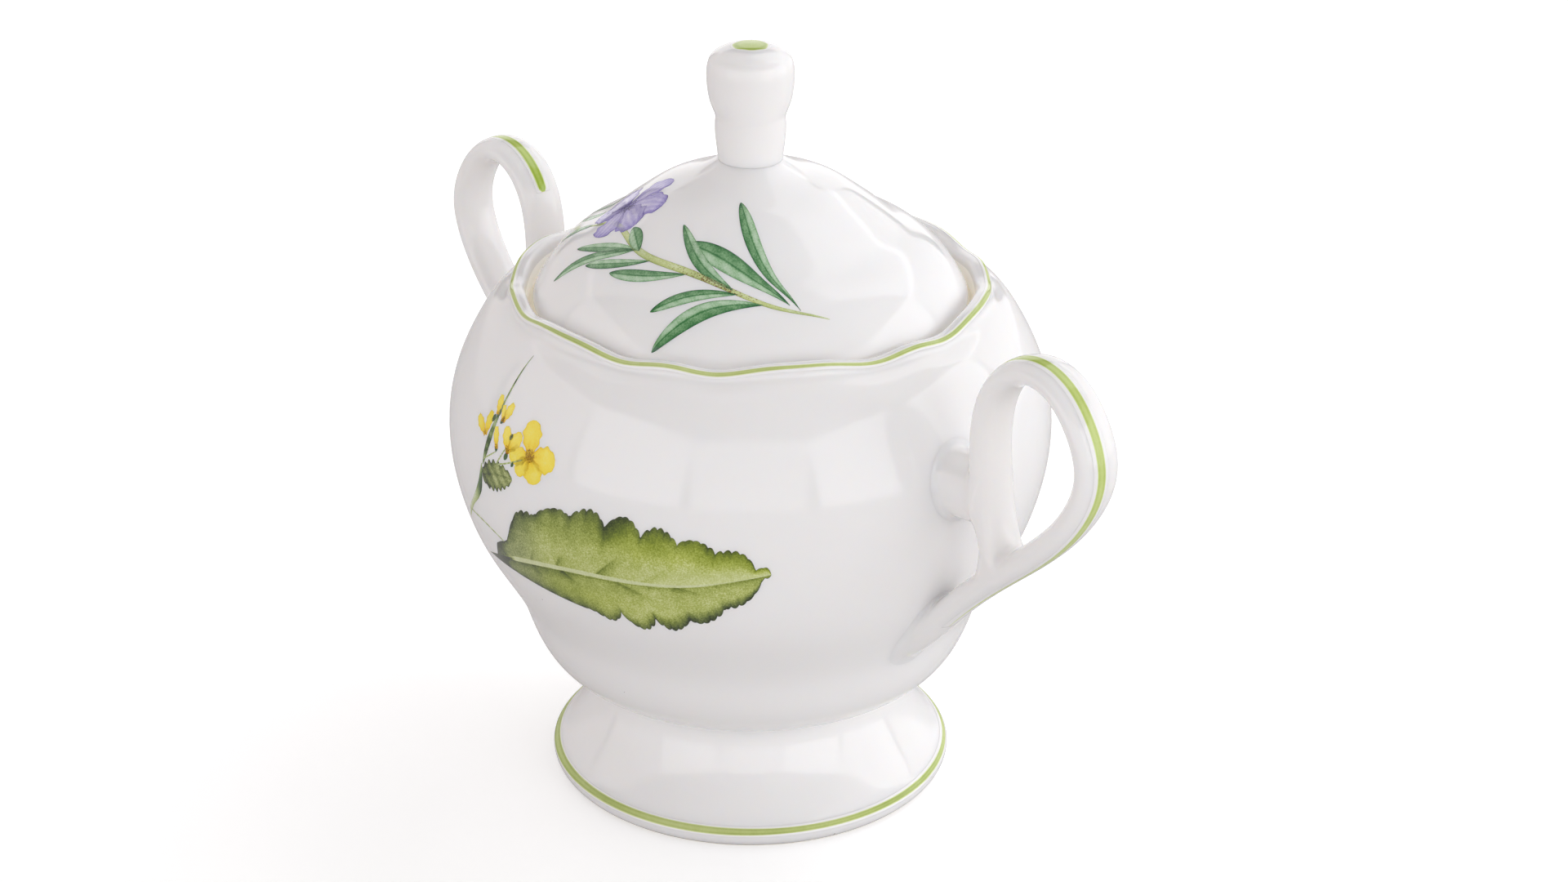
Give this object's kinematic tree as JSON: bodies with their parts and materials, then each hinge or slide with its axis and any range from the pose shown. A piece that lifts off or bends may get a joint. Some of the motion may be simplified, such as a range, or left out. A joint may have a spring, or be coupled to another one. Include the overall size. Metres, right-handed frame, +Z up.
{
  "type": "sugar bowl",
  "caption": "Covered sugar bowl on a flared foot, with looped side handles and a lift-off domed lid with a knob, in white bone china with green lines and printed leaf sprays.",
  "frame": {"origin": "on the table, at the centre of the ring that the foot stands on", "axes": "+Z up along the bowl's axis, +X through the right handle and -X through the left one, +Y across the handles"},
  "size_m": [0.1656, 0.1038, 0.1323],
  "materials": {
    "glazed_china": "gloss glaze over white bone china, with green enamel lines and printed sprays"
  },
  "bodies": {
    "bowl": {"bowl_body": "glazed_china", "foot": "glazed_china", "handle_right": "glazed_china", "handle_left": "glazed_china"},
    "lid": {"lid": "glazed_china", "knob": "glazed_china"}
  },
  "joints": [
    {"name": "lid_lift", "type": "slide", "parent": "bowl", "child": "lid", "axis": [0, 0, 1], "range_m": [0, 0.06]}
  ]
}
